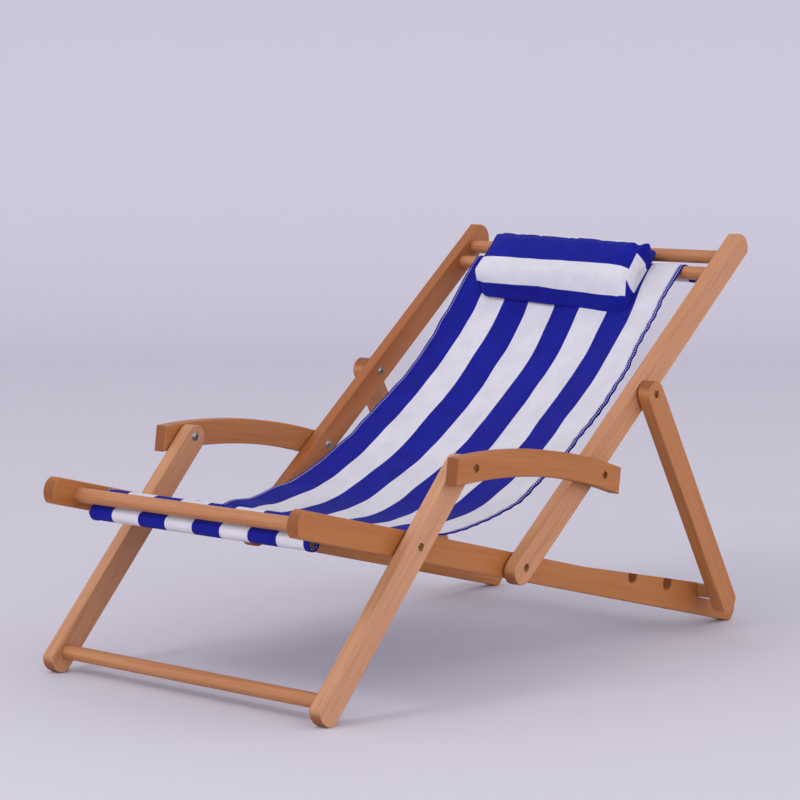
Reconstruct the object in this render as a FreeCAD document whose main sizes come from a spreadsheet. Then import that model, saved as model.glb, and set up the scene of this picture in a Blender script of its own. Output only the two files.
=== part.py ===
"""Folding deck chair: beech side frames, dowels, striped canvas sling and headrest pillow.

Frame: millimetres, +Z up, the sitter faces -Y, X runs across the chair.  The origin is on
the floor, in the middle of the footprint.  Every bar is drawn on its own axis: local X
along the bar, local Y across it, local Z through its thickness towards the chair's +X side.
The right-hand bars are drawn and the left-hand ones are their mirror images.
"""
import FreeCAD, Part

import math
import os

import Sketcher
from FreeCAD import Rotation, Vector

doc = FreeCAD.newDocument("deck_chair")

# ---------------------------------------------------------------- driving dimensions
SIZES = {
    # bars
    "bar_thickness": 22, "bar_width": 40, "bar_easing": 2, "tip_radius": 25,
    "layer_gap": 3, "half_width": 306, "round_inset": 9,
    # side view: where the base frame stands and how the bars lean, in degrees
    "back_pivot_y": -64.3, "back_pivot_z": 165.6,
    "base_slope": 14, "back_tilt": 39.06, "leg_tilt": 47.4, "support_tilt": 58.93,
    # linkage: distances between pivots
    "leg_pivot_reach": 250.2, "arm_pivot_reach": 202.8, "arm_pivot_drop": 4,
    "leg_arm_reach": 139.4, "support_pivot_reach": 377.3,
    # base rail, measured from the back pivot
    "rail_front": 484.5, "rail_rear": 617, "front_dowel_reach": 430.7, "dowel_pitch": 40,
    "flare_start": 180, "flare_end": 497, "flare_rise": 11.5,
    "notch_first": 310, "notch_pitch": 99, "notch_diameter": 22.8, "notch_shelf": 8.6,
    # other bar lengths, from their main pivots
    "back_top": 743, "top_dowel_reach": 656.6, "leg_dowel_reach": 265.7,
    "support_bar_reach": 398.4, "support_tip": 431, "foot_flat_depth": 0.6,
    # armrest
    "arm_radius": 1000, "arm_overhang": 41,
    # dowels and rods
    "dowel_diameter": 22, "socket_depth": 14, "glue_gap": 0.05,
    "rod_diameter": 15, "rod_overhang": 6,
    # pivot hardware
    "sleeve_diameter": 8, "pivot_hole": 8.1, "sleeve_bore": 6.1, "shank_diameter": 6,
    "flange_diameter": 12, "flange_thickness": 1.5, "recess_diameter": 12.4,
    "recess_depth": 5, "head_diameter": 14, "head_height": 2.4, "washer_diameter": 20,
    "sleeve_stop": 4, "thread_length": 16, "hex_key": 4, "hex_depth": 2.5,
    "bore_end": 3.8,
    # canvas sling and its hems
    "sling_width": 446, "canvas": 1.6, "seat_radius": 575, "seat_centre_y": -189.3,
    "seat_centre_z": 799, "seat_end_angle": 8, "back_bend_angle": 34,
    "hem_diameter": 25, "hem_bore": 15.6,
    "front_hem_back": 15.2, "front_hem_drop": 21.3, "top_hem_back": 20, "top_hem_drop": 24,
    # headrest
    "pillow_length": 321, "pillow_depth": 135, "pillow_height": 47, "pillow_corner": 18,
    "pillow_centre_x": -11.5, "pillow_front": 554, "pillow_lift": 1, "pillow_tilt": 7.5, "cover": 1.5,
    "foam_gap": 0.3,
}

sheet = doc.addObject("Spreadsheet::Sheet", "sheet")
for row, (alias, value) in enumerate(SIZES.items(), start=1):
    sheet.set("A%d" % row, alias.replace("_", " "))
    sheet.set("B%d" % row, str(value))
    sheet.setAlias("B%d" % row, alias)
doc.recompute()

nodes = []


def size(expression):
    """The number that an expression of the sheet's aliases gives."""
    return float(doc.sheet.evalExpression(expression))


def bound(expression):
    """The same expression as another object has to write it, with the sheet's name in front."""
    for alias in sorted(SIZES, key=len, reverse=True):
        expression = expression.replace(alias, "<<" + alias + ">>")
    return expression.replace("<<", "sheet.").replace(">>", "")


def node(name, piece):
    """Register a finished piece under the name of its file."""
    piece.Label = name
    nodes.append(piece)
    return piece


# ---------------------------------------------------------------- sketches
class Outline:
    """A closed outline drawn corner by corner.

    Each coordinate is an expression of the sheet's aliases, which both places the geometry
    and becomes a driving constraint bound to the sheet.
    """

    def __init__(self, body, name, plane="XY_Plane"):
        self.sketch = body.newObject("Sketcher::SketchObject", name)
        planes = [item for item in body.Origin.OriginFeatures if item.Role == plane]
        self.sketch.AttachmentSupport = (planes[0], "")
        self.sketch.MapMode = "FlatFace"
        self.corners = []
        self.arcs = []

    def corner(self, x, y):
        """Go straight to a corner."""
        self.corners.append((str(x), str(y)))
        self.arcs.append(None)
        return self

    def arc(self, x, y, centre, along="x", turn=1):
        """Go to a corner round an arc; the centre's one coordinate and the turn fix it."""
        self.corners.append((str(x), str(y)))
        self.arcs.append((str(centre), along, turn))
        return self

    def finish(self):
        """Make the sketch; a last arc that returns to the first corner closes it."""
        if self.corners[-1] == self.corners[0]:
            self.corners.pop()
            self.arcs[0] = self.arcs.pop()
        points = [Vector(size(x), size(y), 0) for x, y in self.corners]
        count = len(points)
        for index in range(count):
            start, end = points[index - 1], points[index]
            arc = self.arcs[index]
            if arc is None:
                self.sketch.addGeometry(Part.LineSegment(start, end), False)
            else:
                self.sketch.addGeometry(self._arc(start, end, arc), False)
        for index in range(count):
            self._join(index, (index + 1) % count)
            self._place(index, self._end(index), *self.corners[index])
            if self.arcs[index]:
                centre, along, _ = self.arcs[index]
                kind = "DistanceX" if along == "x" else "DistanceY"
                self._bind(kind, index, 3, centre, "centre")
        doc.recompute()
        return self.sketch

    def _arc(self, start, end, arc):
        """The arc from start to end whose centre has the given coordinate."""
        centre, along, turn = arc
        middle = (start + end) * 0.5
        chord = end - start
        if along == "x":
            x = size(centre)
            y = middle.y - (x - middle.x) * chord.x / chord.y
        else:
            y = size(centre)
            x = middle.x - (y - middle.y) * chord.y / chord.x
        hub = Vector(x, y, 0)
        first, last = (start, end) if turn > 0 else (end, start)
        angles = [math.atan2(p.y - hub.y, p.x - hub.x) for p in (first, last)]
        circle = Part.Circle(hub, Vector(0, 0, 1), (start - hub).Length)
        return Part.ArcOfCircle(circle, *angles)

    def _end(self, index):
        """The vertex number at the end of an edge; a clockwise arc is stored reversed."""
        arc = self.arcs[index]
        return 1 if arc and arc[2] < 0 else 2

    def _start(self, index):
        return 3 - self._end(index)

    def _join(self, index, following):
        self.sketch.addConstraint(Sketcher.Constraint(
            "Coincident", index, self._end(index), following, self._start(following)))

    def _place(self, index, vertex, x, y):
        self._bind("DistanceX", index, vertex, x, "x")
        self._bind("DistanceY", index, vertex, y, "y")

    def _bind(self, kind, index, vertex, expression, tag):
        value = size(expression)
        number = self.sketch.addConstraint(
            Sketcher.Constraint(kind, -1, 1, index, vertex, value))
        label = "%s_%d_%s" % (tag, index, kind)
        self.sketch.renameConstraint(number, label)
        self.sketch.setExpression("Constraints." + label, bound(expression))


def circles(body, name, holes, lift="0"):
    """A sketch of circles at (x, y) with bound diameters, lifted off the XY plane."""
    sketch = body.newObject("Sketcher::SketchObject", name)
    planes = [item for item in body.Origin.OriginFeatures if item.Role == "XY_Plane"]
    sketch.AttachmentSupport = (planes[0], "")
    sketch.MapMode = "FlatFace"
    sketch.setExpression(".AttachmentOffset.Base.z", bound(lift))
    for index, (x, y, diameter) in enumerate(holes):
        centre = Vector(size(str(x)), size(str(y)), 0)
        radius = size(diameter) / 2
        sketch.addGeometry(Part.Circle(centre, Vector(0, 0, 1), radius), False)
        for kind, expression in (("DistanceX", str(x)), ("DistanceY", str(y))):
            number = sketch.addConstraint(Sketcher.Constraint(
                kind, -1, 1, index, 3, size(expression)))
            sketch.renameConstraint(number, "hole_%d_%s" % (index, kind))
            sketch.setExpression("Constraints.hole_%d_%s" % (index, kind), bound(expression))
        number = sketch.addConstraint(Sketcher.Constraint("Diameter", index, 2 * radius))
        sketch.renameConstraint(number, "bore_%d" % index)
        sketch.setExpression("Constraints.bore_%d" % index, bound(diameter))
    doc.recompute()
    return sketch


def pad(body, sketch, length):
    feature = body.newObject("PartDesign::Pad", "pad")
    feature.Profile = sketch
    feature.setExpression("Length", bound(length))
    doc.recompute()
    return feature


def pocket(body, sketch, depth, upwards):
    """Cut a sketch into the body, up or down along local Z, and check that it cut."""
    before = body.Shape.Volume
    feature = body.newObject("PartDesign::Pocket", "pocket")
    feature.Profile = sketch
    feature.setExpression("Length", bound(depth))
    feature.Reversed = upwards
    doc.recompute()
    if body.Shape.Volume >= before - 1e-6:
        raise RuntimeError("a pocket of %s cuts nothing" % body.Name)
    return feature


def ease(body, base, faces_at):
    """Round the outline edges that lie in the two flat faces of a bar."""
    edges = []
    for number, edge in enumerate(base.Shape.Edges, start=1):
        heights = [vertex.Z for vertex in edge.Vertexes]
        if any(all(abs(z - level) < 1e-6 for z in heights) for level in faces_at):
            edges.append("Edge%d" % number)
    feature = body.newObject("PartDesign::Fillet", "easing")
    feature.Base = (base, edges)
    feature.setExpression("Radius", bound("bar_easing"))
    doc.recompute()
    return feature


def revolve(body, sketch):
    """Turn a profile about the body's X axis."""
    feature = body.newObject("PartDesign::Revolution", "turned")
    feature.Profile = sketch
    feature.ReferenceAxis = (sketch, ["H_Axis"])
    feature.Angle = 360
    doc.recompute()
    return feature


# ---------------------------------------------------------------- side view
class SideFrame:
    """A bar's own axes, seen from the chair's right side: origin, direction, layer."""

    def __init__(self, y, z, degrees):
        self.origin = Vector(0, y, z)
        self.degrees = degrees
        angle = math.radians(degrees)
        self.along = Vector(0, math.cos(angle), math.sin(angle))
        self.across = Vector(0, -math.sin(angle), math.cos(angle))

    def point(self, reach, offset=0):
        return self.origin + self.along * reach + self.across * offset

    def local(self, point):
        """Reach and offset of a point in this frame."""
        step = point - self.origin
        return step.dot(self.along), step.dot(self.across)

    def placement(self, x):
        turn = Rotation(self.along, self.across, Vector(1, 0, 0), "XYZ")
        return FreeCAD.Placement(Vector(x, self.origin.y, self.origin.z), turn)


def meet(centre_a, radius_a, centre_b, radius_b):
    """The upper point at the given distances from two centres in the side view."""
    span = (centre_b - centre_a).Length
    reach = (radius_a ** 2 - radius_b ** 2 + span ** 2) / (2 * span)
    rise = math.sqrt(radius_a ** 2 - reach ** 2)
    along = (centre_b - centre_a) / span
    return centre_a + along * reach + Vector(0, -along.z, along.y) * rise


base_frame = SideFrame(size("back_pivot_y"), size("back_pivot_z"), -size("base_slope"))
back_frame = SideFrame(size("back_pivot_y"), size("back_pivot_z"), size("back_tilt"))
BACK_PIVOT = base_frame.origin
LEG_PIVOT = base_frame.point(-size("leg_pivot_reach"))
ARM_REAR_PIVOT = back_frame.point(size("arm_pivot_reach"), -size("arm_pivot_drop"))
SUPPORT_PIVOT = back_frame.point(size("support_pivot_reach"))

# The armrest's length closes the linkage so that all four pivots line up when it is folded.
ARM_SPAN = (size("leg_pivot_reach") + (ARM_REAR_PIVOT - BACK_PIVOT).Length
            - size("leg_arm_reach"))
ARM_FRONT_PIVOT = meet(LEG_PIVOT, size("leg_arm_reach"), ARM_REAR_PIVOT, ARM_SPAN)

leg_frame = SideFrame(LEG_PIVOT.y, LEG_PIVOT.z, size("leg_tilt"))
support_frame = SideFrame(SUPPORT_PIVOT.y, SUPPORT_PIVOT.z, -size("support_tilt"))
arm_step = ARM_REAR_PIVOT - ARM_FRONT_PIVOT
arm_frame = SideFrame(ARM_FRONT_PIVOT.y, ARM_FRONT_PIVOT.z,
                      math.degrees(math.atan2(arm_step.z, arm_step.y)))

# The side frames nest in three layers: armrests and supports outside, base rails inside.
OUTER_FACES = {
    "outer": size("half_width"),
    "middle": size("half_width - bar_thickness - layer_gap"),
    "inner": size("half_width - 2 * bar_thickness - 2 * layer_gap"),
}


def inner_face(layer):
    return OUTER_FACES[layer] - size("bar_thickness")


# ---------------------------------------------------------------- bars
def mirrored(piece, name):
    """The left-hand twin of a right-hand piece."""
    twin = doc.addObject("Part::Mirroring", name)
    twin.Source = piece
    twin.Normal = Vector(1, 0, 0)
    twin.Base = Vector(0, 0, 0)
    return twin


def both_sides(name, piece):
    """Register a right-hand bar and its left-hand twin."""
    node(name + "_right", piece)
    node(name + "_left", mirrored(piece, name + "_left"))


def bar(name, frame, layer, outline_steps):
    """Pad an outline to the bar's thickness, ease its edges and put it in its layer."""
    body = doc.addObject("PartDesign::Body", name)
    outline = Outline(body, name + "_outline")
    for kind, arguments in outline_steps:
        getattr(outline, kind)(*arguments)
    block = pad(body, outline.finish(), "bar_thickness")
    ease(body, block, (0, size("bar_thickness")))
    body.Placement = frame.placement(inner_face(layer))
    return body


def tip_end(reach, sign):
    """Corners of a gently bowed bar end: the end is an arc about a point on the axis."""
    chord = "sqrt(tip_radius^2 - bar_width^2 / 4)"
    edge = "%s * (%s - tip_radius + %s)" % (sign, reach, chord)
    centre = "%s * (%s - tip_radius)" % (sign, reach)
    return edge, centre


def drill_pivots(body, inner=(), outer=()):
    """Pivot holes right through; the outer ones also get a recess for the sleeve's flange."""
    holes = [(x, y, "pivot_hole") for x, y in tuple(inner) + tuple(outer)]
    pocket(body, circles(body, "pivot_holes", holes), "bar_thickness", True)
    if outer:
        recesses = [(x, y, "recess_diameter") for x, y in outer]
        sketch = circles(body, "recesses", recesses, "bar_thickness")
        pocket(body, sketch, "recess_depth", False)


def drill_sockets(body, places):
    """Blind sockets for dowels in a bar's inner face."""
    holes = [(x, y, "dowel_diameter + 2 * glue_gap") for x, y in places]
    pocket(body, circles(body, "sockets", holes), "socket_depth", True)


def trim_to_floor(body, name):
    """Cut a foot flat where the bar would reach below the floor."""
    block = doc.addObject("Part::Box", name + "_floor")
    block.setExpression("Length", bound("half_width"))
    block.setExpression("Width", bound("4 * rail_rear"))
    block.setExpression("Height", bound("bar_width"))
    block.Placement.Base = Vector(0, -2 * size("rail_rear"), -size("bar_width"))
    cut = doc.addObject("Part::Cut", name + "_trimmed")
    cut.Base = body
    cut.Tool = block
    return cut


def make_base_rail():
    front, front_centre = tip_end("rail_front", -1)
    rear, rear_centre = tip_end("rail_rear", 1)
    top, bottom = "bar_width / 2", "-bar_width / 2"
    crest = "bar_width / 2 + flare_rise"
    seat = "flare_end + notch_diameter / 2"
    shelf_end = "rail_rear - tip_radius + sqrt(tip_radius^2 - notch_shelf^2)"
    body = bar("base_rail", base_frame, "inner", [
        ("corner", (front, bottom)),
        ("corner", (rear, bottom)),
        ("arc", (shelf_end, "notch_shelf", rear_centre)),
        ("corner", (seat, "notch_shelf")),
        ("arc", ("flare_end", "notch_shelf + notch_diameter / 2", seat, "x", -1)),
        ("corner", ("flare_end", crest)),
        ("corner", ("flare_start", top)),
        ("corner", (front, top)),
        ("arc", (front, bottom, front_centre)),
    ])
    return body


def cut_notches(body):
    """Half-round seats for the support's cross bar; the third opens into the rail's shelf."""
    radius = "notch_diameter / 2"
    for number in range(2):
        centre = "notch_first + %d * notch_pitch" % number
        left, right = centre + " - " + radius, centre + " + " + radius
        notch = Outline(body, "notch_%d" % number)
        notch.corner(left, "bar_width")
        notch.corner(left, "bar_width / 2")
        notch.arc(right, "bar_width / 2", "bar_width / 2", "y")
        notch.corner(right, "bar_width")
        pocket(body, notch.finish(), "bar_thickness", True)


def build_base_rails():
    body = make_base_rail()
    cut_notches(body)
    drill_pivots(body, inner=[("0", "0"), ("-leg_pivot_reach", "0")])
    drill_sockets(body, [("-front_dowel_reach", "0"),
                         ("-front_dowel_reach + dowel_pitch", "0")])
    both_sides("base_rail", trim_to_floor(body, "base_rail"))


def round_to_tip(round_at, tip):
    """Steps for a bar with a full round at one end and a bowed tip at the other."""
    edge, centre = tip_end(tip, 1)
    top, bottom = "bar_width / 2", "-bar_width / 2"
    return [
        ("corner", (round_at, bottom)),
        ("corner", (edge, bottom)),
        ("arc", (edge, top, centre)),
        ("corner", (round_at, top)),
        ("arc", (round_at, bottom, round_at)),
    ]


def build_back_rails():
    body = bar("back_rail", back_frame, "middle", round_to_tip("-round_inset", "back_top"))
    drill_pivots(body, inner=[("arm_pivot_reach", "-arm_pivot_drop"),
                              ("support_pivot_reach", "0")], outer=[("0", "0")])
    drill_sockets(body, [("top_dowel_reach", "0"), ("top_dowel_reach + dowel_pitch", "0")])
    both_sides("back_rail", body)


def build_front_legs():
    """The leg's axes start at its pivot on the base rail and run down to the foot."""
    down = SideFrame(LEG_PIVOT.y, LEG_PIVOT.z, leg_frame.degrees + 180)
    reach, offset = down.local(ARM_FRONT_PIVOT)
    rise = math.sin(math.radians(leg_frame.degrees))
    tip_centre = (LEG_PIVOT.z - size("tip_radius - foot_flat_depth")) / rise
    tip = "%.3f + tip_radius" % tip_centre
    body = bar("front_leg", down, "middle", round_to_tip("%.3f" % reach, tip))
    arm_hole = ("%.3f" % reach, "%.3f" % offset)
    drill_pivots(body, inner=[arm_hole], outer=[("0", "0")])
    drill_sockets(body, [("leg_dowel_reach", "0")])
    both_sides("front_leg", trim_to_floor(body, "front_leg"))
    return down


def build_support_legs():
    body = bar("support_leg", support_frame, "outer", round_to_tip("0", "support_tip"))
    drill_pivots(body, outer=[("0", "0")])
    drill_sockets(body, [("support_bar_reach", "0")])
    both_sides("support_leg", body)


def build_armrests():
    """A bar bent to a shallow arch whose centreline passes through both pivots."""
    span = "%.3f" % ARM_SPAN
    hub_y = "-sqrt(arm_radius^2 - %s^2 / 4)" % span
    half = "(%s / 2 + arm_overhang)" % span
    top = "%s + sqrt((arm_radius + bar_width / 2)^2 - %s^2)" % (hub_y, half)
    bottom = "%s + sqrt((arm_radius - bar_width / 2)^2 - %s^2)" % (hub_y, half)
    front, rear = "-arm_overhang", span + " + arm_overhang"
    body = bar("armrest", arm_frame, "outer", [
        ("corner", (front, top)),
        ("corner", (front, bottom)),
        ("arc", (rear, bottom, hub_y, "y", -1)),
        ("corner", (rear, top)),
        ("arc", (front, top, hub_y, "y", 1)),
    ])
    drill_pivots(body, outer=[("0", "0"), (span, "0")])
    both_sides("armrest", body)


# ---------------------------------------------------------------- dowels and rods
def crosswise(name, point, diameter, half_length):
    """A round bar lying across the chair, centred on its middle plane."""
    rod = doc.addObject("Part::Cylinder", name)
    rod.setExpression("Radius", bound("(" + diameter + ") / 2"))
    rod.Height = 2 * half_length
    rod.Placement = FreeCAD.Placement(Vector(-half_length, point.y, point.z),
                                      Rotation(Vector(0, 1, 0), 90))
    return node(name, rod)


def socketed(name, point, layer):
    """A dowel glued into the blind sockets of a pair of bars."""
    seat = size("socket_depth - glue_gap")
    return crosswise(name, point, "dowel_diameter", inner_face(layer) + seat)


def build_dowels(leg_down):
    front = size("front_dowel_reach")
    top = size("top_dowel_reach")
    pitch = size("dowel_pitch")
    socketed("front_dowel", base_frame.point(-front), "inner")
    socketed("sling_dowel", base_frame.point(pitch - front), "inner")
    socketed("leg_dowel", leg_down.point(size("leg_dowel_reach")), "middle")
    socketed("top_dowel_lower", back_frame.point(top), "middle")
    socketed("top_dowel_upper", back_frame.point(top + pitch), "middle")
    socketed("support_bar", support_frame.point(size("support_bar_reach")), "outer")


def hem_places():
    """Where the canvas hems hang: under the front dowel, and behind the top dowels."""
    front = base_frame.point(-size("front_dowel_reach") + size("front_hem_back"),
                             -size("front_hem_drop"))
    top = back_frame.point(size("top_dowel_reach + top_hem_back"), -size("top_hem_drop"))
    return {"front": front, "top": top}


def build_hems():
    """A loose rod in a sewn sleeve at each end of the canvas."""
    for place, point in hem_places().items():
        half = size("sling_width") / 2
        crosswise(place + "_hem_rod", point, "rod_diameter", half - size("rod_overhang"))
        outside = crosswise(place + "_hem_outside", point, "hem_diameter", half)
        inside = crosswise(place + "_hem_inside", point, "hem_bore", half + size("canvas"))
        for helper in (outside, inside):
            nodes.remove(helper)
        sleeve = doc.addObject("Part::Cut", place + "_hem")
        sleeve.Base = outside
        sleeve.Tool = inside
        node("sling_%s_hem" % place, sleeve)


# ---------------------------------------------------------------- pivot hardware
def pair(name, piece):
    """A right-hand fastener and its left-hand twin, kept together as one node."""
    group = doc.addObject("Part::Compound", name)
    group.Links = [piece, mirrored(piece, name + "_twin")]
    return node(name, group)


def make_sleeve(name, point, layer, end_x):
    """Sleeve nut: a flange at the bottom of the recess and a barrel that ends at end_x."""
    flange_x = OUTER_FACES[layer] - size("recess_depth")
    length = "%.3f" % (flange_x - end_x)
    body = doc.addObject("PartDesign::Body", name)
    profile = Outline(body, name + "_profile")
    profile.corner("-" + length, "sleeve_bore / 2")
    profile.corner("-bore_end", "sleeve_bore / 2")
    profile.corner("-bore_end", "0")
    profile.corner("flange_thickness", "0")
    profile.corner("flange_thickness", "flange_diameter / 2")
    profile.corner("0", "flange_diameter / 2")
    profile.corner("0", "sleeve_diameter / 2")
    profile.corner("-" + length, "sleeve_diameter / 2")
    revolve(body, profile.finish())
    cut_hexagon(body, "flange_thickness", "hex_depth")
    body.Placement.Base = Vector(flange_x, point.y, point.z)
    return body


def make_screw(name, point, layer, end_x):
    """Screw: a domed head on the bar's inner face and a shank that ends at end_x."""
    head_x = inner_face(layer)
    length = "%.3f" % (end_x - head_x)
    dome = "(head_diameter^2 / 4 - head_height^2) / (2 * head_height)"
    body = doc.addObject("PartDesign::Body", name)
    profile = Outline(body, name + "_profile")
    profile.corner(length, "0")
    profile.corner(length, "shank_diameter / 2")
    profile.corner("0", "shank_diameter / 2")
    profile.corner("0", "head_diameter / 2")
    profile.arc("-head_height", "0", dome, "x", 1)
    revolve(body, profile.finish())
    cut_hexagon(body, "-head_height", "hex_depth")
    body.Placement.Base = Vector(head_x, point.y, point.z)
    return body


def cut_hexagon(body, face_x, depth):
    """A key socket in the end face at face_x, cut towards the piece's middle."""
    outwards = 1 if size(face_x) > 0 else -1
    sketch = body.newObject("Sketcher::SketchObject", "hexagon")
    planes = [item for item in body.Origin.OriginFeatures if item.Role == "YZ_Plane"]
    sketch.AttachmentSupport = (planes[0], "")
    sketch.MapMode = "FlatFace"
    sketch.setExpression(".AttachmentOffset.Base.z", bound(face_x))
    radius = size("hex_key") / math.sqrt(3)
    tips = [Vector(radius * math.cos(k * math.pi / 3), radius * math.sin(k * math.pi / 3), 0)
            for k in range(6)]
    for k in range(6):
        sketch.addGeometry(Part.LineSegment(tips[k], tips[(k + 1) % 6]), False)
    sketch.addGeometry(Part.Circle(Vector(0, 0, 0), Vector(0, 0, 1), radius), True)
    for k in range(6):
        sketch.addConstraint(Sketcher.Constraint("Coincident", k, 2, (k + 1) % 6, 1))
        sketch.addConstraint(Sketcher.Constraint("PointOnObject", k, 1, 6))
        if k:
            sketch.addConstraint(Sketcher.Constraint("Equal", 0, k))
    sketch.addConstraint(Sketcher.Constraint("Coincident", 6, 3, -1, 1))
    sketch.addConstraint(Sketcher.Constraint("PointOnObject", 0, 1, -1))
    number = sketch.addConstraint(Sketcher.Constraint("Radius", 6, radius))
    sketch.renameConstraint(number, "tips")
    sketch.setExpression("Constraints.tips", bound("hex_key / sqrt(3)"))
    doc.recompute()
    pocket(body, sketch, depth, outwards < 0)


def make_washer(name, point, layer):
    """Washer that keeps a layer clear of the next one in."""
    body = doc.addObject("PartDesign::Body", name)
    sketch = circles(body, name + "_ring", [("0", "0", "washer_diameter"),
                                            ("0", "0", "pivot_hole")])
    pad(body, sketch, "layer_gap")
    gap_x = inner_face(layer) - size("layer_gap")
    body.Placement = FreeCAD.Placement(Vector(gap_x, point.y, point.z),
                                       Rotation(Vector(0, 1, 0), 90))
    return body


def build_pivot(name, point, layer, below):
    """A through pivot: screw, sleeve nut and washer on each side of the chair."""
    stop_x = inner_face(below) + size("sleeve_stop")
    screw_x = stop_x + size("thread_length")
    pair(name + "_screws", make_screw(name + "_screw", point, below, screw_x))
    pair(name + "_sleeves", make_sleeve(name + "_sleeve", point, layer, stop_x))
    pair(name + "_washers", make_washer(name + "_washer", point, layer))


def build_open_pivot(point):
    """The armrest's front pivot: screw and sleeve stop either side of the washer's middle."""
    screw_x = OUTER_FACES["middle"] + size("layer_gap") / 3
    stop_x = inner_face("outer")
    pair("arm_front_screws", make_screw("arm_front_screw", point, "middle", screw_x))
    pair("arm_front_washers", make_washer("arm_front_washer", point, "outer"))
    sleeve = make_sleeve("arm_front_sleeve", point, "outer", stop_x)
    both_sides("arm_front_sleeve", sleeve)


def build_hardware():
    build_pivot("back_pivot", BACK_PIVOT, "middle", "inner")
    build_pivot("leg_pivot", LEG_PIVOT, "middle", "inner")
    build_pivot("arm_rear_pivot", ARM_REAR_PIVOT, "outer", "middle")
    build_pivot("support_pivot", SUPPORT_PIVOT, "outer", "middle")
    build_open_pivot(ARM_FRONT_PIVOT)


# ---------------------------------------------------------------- canvas
def cloth(name, edges):
    """A sheet of canvas that follows a path in the side view (no primitive fits it)."""
    path = Part.Wire(edges)
    half = size("sling_width") / 2
    face = path.makeOffset2D(size("canvas") / 2, 0, True, False)
    sheet_shape = face.extrude(Vector(2 * half, 0, 0))
    piece = doc.addObject("Part::Feature", name)
    piece.Shape = sheet_shape
    piece.Placement.Base = Vector(-half, 0, 0)
    return node(name, piece)


def side_arc(centre, radius, start, end):
    """An arc in the side view; angles in degrees from straight down, positive rearward."""
    def at(degrees):
        angle = math.radians(degrees)
        return centre + Vector(0, math.sin(angle), -math.cos(angle)) * radius
    return Part.Arc(at(start), at((start + end) / 2), at(end)).toShape()


def build_sling():
    """The seat hangs as an arc from the sling dowel; the back bends up to the top dowel."""
    hub = Vector(0, size("seat_centre_y"), size("seat_centre_z"))
    radius = size("seat_radius")
    dowel_top = base_frame.point(size("dowel_pitch - front_dowel_reach"))
    start = -math.degrees(math.asin((hub.y - dowel_top.y) / radius))
    split = size("seat_end_angle")
    bend = size("back_bend_angle")
    gap = math.degrees(size("canvas") / radius)
    cloth("sling_seat", [side_arc(hub, radius, start, split - gap)])
    turn = math.radians(bend)
    lower = hub + Vector(0, math.sin(turn), -math.cos(turn)) * radius
    clear = size("dowel_diameter / 2 + canvas")
    upper = back_frame.point(size("top_dowel_reach"), clear)
    chord = (upper - lower).Length
    chord_angle = math.atan2(upper.z - lower.z, upper.y - lower.y)
    middle = (lower + upper) * 0.5
    sag = chord / 2 * math.tan((chord_angle - turn) / 2)
    side = Vector(0, math.sin(chord_angle), -math.cos(chord_angle))
    rise = Part.Arc(lower, middle + side * sag, upper).toShape()
    cloth("sling_back", [side_arc(hub, radius, split + gap, bend), rise])


# ---------------------------------------------------------------- headrest
BOX_EDGES = range(1, 13)


def rounded_block(name, shrink, corner):
    """A block lying on the canvas, with rounded edges and smaller by shrink on every side."""
    block = doc.addObject("Part::Box", name + "_block")
    block.setExpression("Length", bound("pillow_depth") + " - 2 * %s" % bound(shrink))
    block.setExpression("Width", bound("pillow_height") + " - 2 * %s" % bound(shrink))
    block.setExpression("Height", bound("pillow_length") + " - 2 * %s" % bound(shrink))
    inset = size(shrink)
    front = back_frame.point(size("pillow_front"), size("pillow_lift"))
    frame = SideFrame(front.y, front.z, back_frame.degrees + size("pillow_tilt"))
    block.Placement = frame.placement(size("pillow_centre_x - pillow_length / 2") + inset)
    block.Placement.Base += frame.along * inset + frame.across * inset
    doc.recompute()
    rounded = doc.addObject("Part::Fillet", name)
    rounded.Base = block
    rounded.Edges = [(number, size(corner), size(corner)) for number in BOX_EDGES]
    return rounded


def build_headrest():
    """A sewn cover, closed all round, over a block of foam."""
    outside = rounded_block("headrest_outside", "0", "pillow_corner")
    cavity = rounded_block("headrest_cavity", "cover", "pillow_corner - cover")
    cover = doc.addObject("Part::Cut", "headrest")
    cover.Base = outside
    cover.Tool = cavity
    node("headrest_cover", cover)
    foam = rounded_block("headrest_core", "(cover + foam_gap)",
                         "pillow_corner - cover - foam_gap")
    node("headrest_foam", foam)


# ---------------------------------------------------------------- build and write
def check(piece):
    """Stop if a finished piece is broken."""
    shape = piece.Shape
    if shape.isNull() or not shape.isValid() or shape.Volume <= 0:
        raise RuntimeError("bad shape: " + piece.Label)


build_base_rails()
build_back_rails()
down_frame = build_front_legs()
build_support_legs()
build_armrests()
build_dowels(down_frame)
build_hems()
build_hardware()
build_sling()
build_headrest()
doc.recompute()

for item in doc.Objects:
    if "Invalid" in item.State or "Error" in item.State:
        raise RuntimeError("failed feature: " + item.Name)

os.makedirs("parts", exist_ok=True)
for piece in nodes:
    check(piece)
    piece.Shape.exportStep(os.path.join("parts", piece.Label + ".step"))
print("%d nodes written" % len(nodes))
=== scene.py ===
"""Looks of a folding deck chair: beech frame, metal pivots, striped canvas sling and head pillow.

Lengths are in metres in the CAD frame: +X across the chair, +Y to its rear, +Z up.
"""
import math
import bpy
import numpy as np
from mathutils import Matrix, Vector
from mathutils import noise as field
from mathutils.bvhtree import BVHTree


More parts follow.
